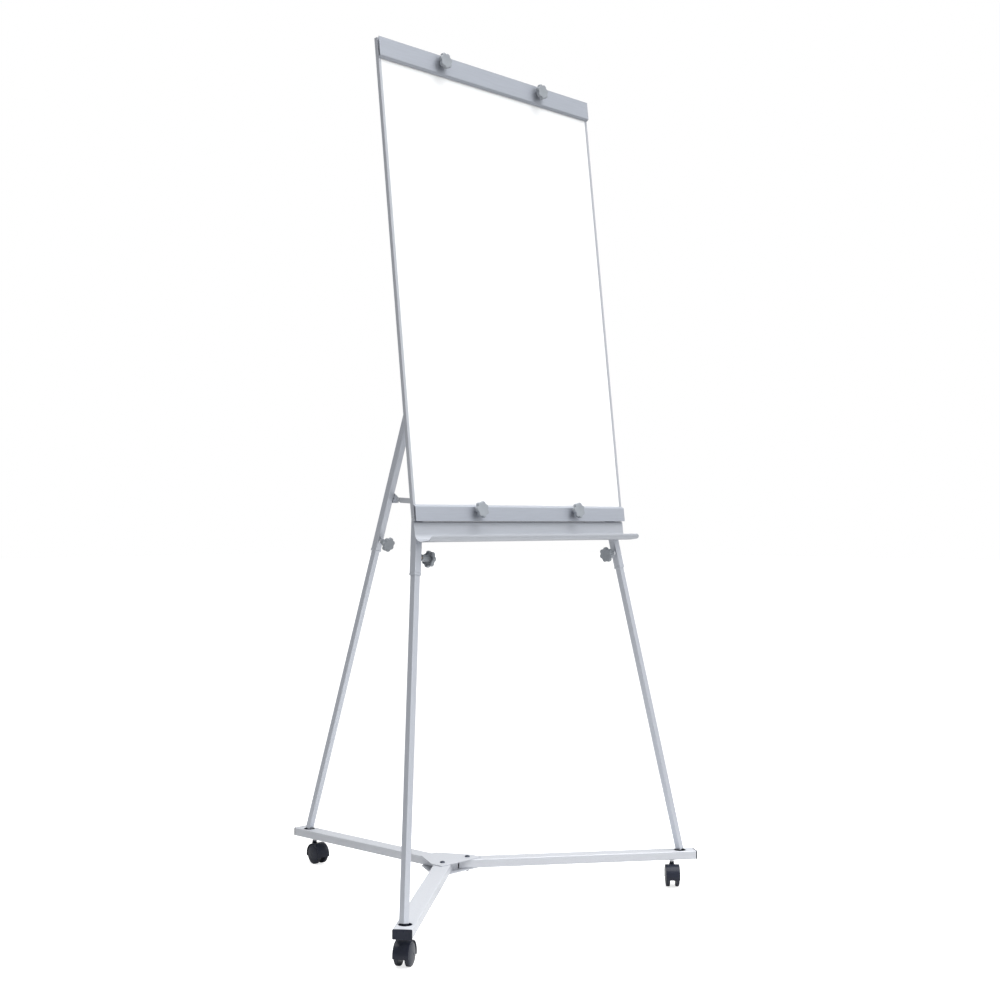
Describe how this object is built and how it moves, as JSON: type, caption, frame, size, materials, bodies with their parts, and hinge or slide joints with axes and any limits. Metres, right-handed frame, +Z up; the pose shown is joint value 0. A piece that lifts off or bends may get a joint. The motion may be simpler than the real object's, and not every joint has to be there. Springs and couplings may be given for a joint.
{
  "type": "mobile flipchart easel",
  "caption": "Tilted white board with clamp bars and pen tray on telescopic legs, standing in a folding wheeled base.",
  "frame": {"origin": "on the floor, under the middle of the easel's overall width and depth", "axes": "+Z up, -Y the way the board faces, +X to the right of someone facing the board"},
  "size_m": [1.003, 0.9314, 1.9357],
  "materials": {
    "silver_paint": "satin",
    "anodised_aluminium": "satin",
    "zinc_plate": "semi-gloss",
    "dark_bolt": "satin",
    "white_board": "glossy",
    "grey_sleeve": "satin",
    "black_plastic": "satin",
    "knob_plastic": "satin"
  },
  "bodies": {
    "base": {"hub_top_plate": "silver_paint", "hub_bottom_plate": "silver_paint", "left_pivot_bolt": "dark_bolt", "right_pivot_bolt": "dark_bolt", "left_pivot_nut": "zinc_plate", "right_pivot_nut": "zinc_plate", "rear_arm": "silver_paint", "rear_arm_cap": "black_plastic", "rear_leg_seat": "black_plastic", "rear_caster_stem": "zinc_plate"},
    "left_arm": {"left_arm": "silver_paint", "left_arm_cap": "black_plastic", "left_leg_seat": "black_plastic", "left_caster_stem": "zinc_plate"},
    "right_arm": {"right_arm": "silver_paint", "right_arm_cap": "black_plastic", "right_leg_seat": "black_plastic", "right_caster_stem": "zinc_plate"},
    "board": {"board_panel": "white_board", "left_frame_rail": "anodised_aluminium", "right_frame_rail": "anodised_aluminium", "top_frame_rail": "anodised_aluminium", "bottom_frame_rail": "anodised_aluminium", "pen_tray": "anodised_aluminium", "head_rail": "silver_paint", "cross_rail": "silver_paint", "rear_hinge_pin": "zinc_plate", "spreader_bracket": "zinc_plate", "left_leg_upper": "silver_paint", "left_leg_collar": "grey_sleeve", "right_leg_upper": "silver_paint", "right_leg_collar": "grey_sleeve"},
    "left_lower_leg": {"left_leg_lower": "silver_paint", "left_leg_foot": "black_plastic"},
    "right_lower_leg": {"right_leg_lower": "silver_paint", "right_leg_foot": "black_plastic"},
    "rear_leg": {"rear_leg_upper": "silver_paint", "rear_leg_collar": "grey_sleeve", "spreader_hook_pin": "zinc_plate"},
    "rear_lower_leg": {"rear_leg_lower": "silver_paint", "rear_leg_foot": "black_plastic"},
    "left_leg_knob": {"left_leg_knob": "knob_plastic"},
    "right_leg_knob": {"right_leg_knob": "knob_plastic"},
    "rear_leg_knob": {"rear_leg_knob": "knob_plastic"},
    "spreader": {"spreader_strap": "silver_paint"},
    "top_clamp_bar": {"top_clamp_bar": "anodised_aluminium"},
    "bottom_clamp_bar": {"bottom_clamp_bar": "anodised_aluminium"},
    "top_left_clamp_knob": {"top_left_clamp_knob": "knob_plastic"},
    "top_right_clamp_knob": {"top_right_clamp_knob": "knob_plastic"},
    "bottom_left_clamp_knob": {"bottom_left_clamp_knob": "knob_plastic"},
    "bottom_right_clamp_knob": {"bottom_right_clamp_knob": "knob_plastic"},
    "left_caster": {"left_caster_hood": "black_plastic"},
    "left_wheel_a": {"left_caster_wheel_a": "black_plastic"},
    "left_wheel_b": {"left_caster_wheel_b": "black_plastic"},
    "right_caster": {"right_caster_hood": "black_plastic"},
    "right_wheel_a": {"right_caster_wheel_a": "black_plastic"},
    "right_wheel_b": {"right_caster_wheel_b": "black_plastic"},
    "rear_caster": {"rear_caster_hood": "black_plastic"},
    "rear_wheel_a": {"rear_caster_wheel_a": "black_plastic"},
    "rear_wheel_b": {"rear_caster_wheel_b": "black_plastic"}
  },
  "joints": [
    {"name": "easel_lift_off", "type": "slide", "parent": "base", "child": "board", "axis": [0, 0, 1], "range_m": [0, 0.7]},
    {"name": "left_arm_fold", "type": "hinge", "parent": "base", "child": "left_arm", "pos_m": [-0.0415, -0.10865, 0.074], "axis": [0, 0, -1], "range_deg": [0, 120]},
    {"name": "right_arm_fold", "type": "hinge", "parent": "base", "child": "right_arm", "pos_m": [0.0415, -0.10865, 0.074], "axis": [0, 0, 1], "range_deg": [0, 120]},
    {"name": "rear_leg_fold", "type": "hinge", "parent": "board", "child": "rear_leg", "pos_m": [0, -0.1883, 1.83531], "axis": [-1, 0, 0], "range_deg": [0, 23.5]},
    {"name": "spreader_fold", "type": "hinge", "parent": "board", "child": "spreader", "pos_m": [0, -0.29375, 0.91551], "axis": [1, 0, 0], "range_deg": [0, 80]},
    {"name": "left_leg_telescope", "type": "slide", "parent": "board", "child": "left_lower_leg", "axis": [-0.1675, -0.1313, -0.9771], "range_m": [-0.35, 0]},
    {"name": "left_leg_knob_turn", "type": "hinge", "parent": "board", "child": "left_leg_knob", "pos_m": [-0.30651, -0.32745, 0.80676], "axis": [0.9859, -0.0223, -0.166], "continuous": true},
    {"name": "right_leg_telescope", "type": "slide", "parent": "board", "child": "right_lower_leg", "axis": [0.1675, -0.1313, -0.9771], "range_m": [-0.35, 0]},
    {"name": "right_leg_knob_turn", "type": "hinge", "parent": "board", "child": "right_leg_knob", "pos_m": [0.30651, -0.32745, 0.80676], "axis": [-0.9859, -0.0223, -0.166], "continuous": true},
    {"name": "rear_leg_telescope", "type": "slide", "parent": "rear_leg", "child": "rear_lower_leg", "axis": [0, 0.3318, -0.9433], "range_m": [-0.35, 0]},
    {"name": "rear_leg_knob_turn", "type": "hinge", "parent": "rear_leg", "child": "rear_leg_knob", "pos_m": [0, 0.13312, 0.83117], "axis": [0, -0.9433, -0.3318], "continuous": true},
    {"name": "top_clamp_bar_release", "type": "slide", "parent": "board", "child": "top_clamp_bar", "axis": [0, -0.9937, 0.1125], "range_m": [0, 0.006]},
    {"name": "top_left_clamp_knob_turn", "type": "hinge", "parent": "top_clamp_bar", "child": "top_left_clamp_knob", "pos_m": [-0.163, -0.23474, 1.91662], "axis": [0, -0.9937, 0.1125], "continuous": true},
    {"name": "top_right_clamp_knob_turn", "type": "hinge", "parent": "top_clamp_bar", "child": "top_right_clamp_knob", "pos_m": [0.163, -0.23474, 1.91662], "axis": [0, -0.9937, 0.1125], "continuous": true},
    {"name": "bottom_clamp_bar_release", "type": "slide", "parent": "board", "child": "bottom_clamp_bar", "axis": [0, -0.9937, 0.1125], "range_m": [0, 0.006]},
    {"name": "bottom_left_clamp_knob_turn", "type": "hinge", "parent": "bottom_clamp_bar", "child": "bottom_left_clamp_knob", "pos_m": [-0.163, -0.3486, 0.91105], "axis": [0, -0.9937, 0.1125], "continuous": true},
    {"name": "bottom_right_clamp_knob_turn", "type": "hinge", "parent": "bottom_clamp_bar", "child": "bottom_right_clamp_knob", "pos_m": [0.163, -0.3486, 0.91105], "axis": [0, -0.9937, 0.1125], "continuous": true},
    {"name": "left_caster_swivel", "type": "hinge", "parent": "left_arm", "child": "left_caster", "pos_m": [-0.44242, -0.41407, 0.055], "axis": [0, 0, 1], "continuous": true},
    {"name": "left_wheel_a_roll", "type": "hinge", "parent": "left_caster", "child": "left_wheel_a", "pos_m": [-0.46153, -0.41007, 0.025], "axis": [0.4695, -0.8829, 0], "continuous": true},
    {"name": "left_wheel_b_roll", "type": "hinge", "parent": "left_caster", "child": "left_wheel_b", "pos_m": [-0.44979, -0.43215, 0.025], "axis": [0.4695, -0.8829, 0], "continuous": true},
    {"name": "right_caster_swivel", "type": "hinge", "parent": "right_arm", "child": "right_caster", "pos_m": [0.44242, -0.41407, 0.055], "axis": [0, 0, 1], "continuous": true},
    {"name": "right_wheel_a_roll", "type": "hinge", "parent": "right_caster", "child": "right_wheel_a", "pos_m": [0.42291, -0.41482, 0.025], "axis": [0.6691, -0.7431, 0], "continuous": true},
    {"name": "right_wheel_b_roll", "type": "hinge", "parent": "right_caster", "child": "right_wheel_b", "pos_m": [0.43964, -0.43339, 0.025], "axis": [0.6691, -0.7431, 0], "continuous": true},
    {"name": "rear_caster_swivel", "type": "hinge", "parent": "base", "child": "rear_caster", "pos_m": [0, 0.40675, 0.055], "axis": [0, 0, 1], "continuous": true},
    {"name": "rear_wheel_a_roll", "type": "hinge", "parent": "rear_caster", "child": "rear_wheel_a", "pos_m": [-0.01376, 0.3929, 0.025], "axis": [0.9962, -0.0872, 0], "continuous": true},
    {"name": "rear_wheel_b_roll", "type": "hinge", "parent": "rear_caster", "child": "rear_wheel_b", "pos_m": [0.01115, 0.39072, 0.025], "axis": [0.9962, -0.0872, 0], "continuous": true}
  ],
  "couplings": [
    {"joint": "left_arm_fold", "follows": "easel_lift_off", "rad_per_m": 2.992},
    {"joint": "right_arm_fold", "follows": "easel_lift_off", "rad_per_m": 2.992},
    {"joint": "rear_leg_fold", "follows": "easel_lift_off", "rad_per_m": 0.58593},
    {"joint": "spreader_fold", "follows": "easel_lift_off", "rad_per_m": 1.9947}
  ]
}
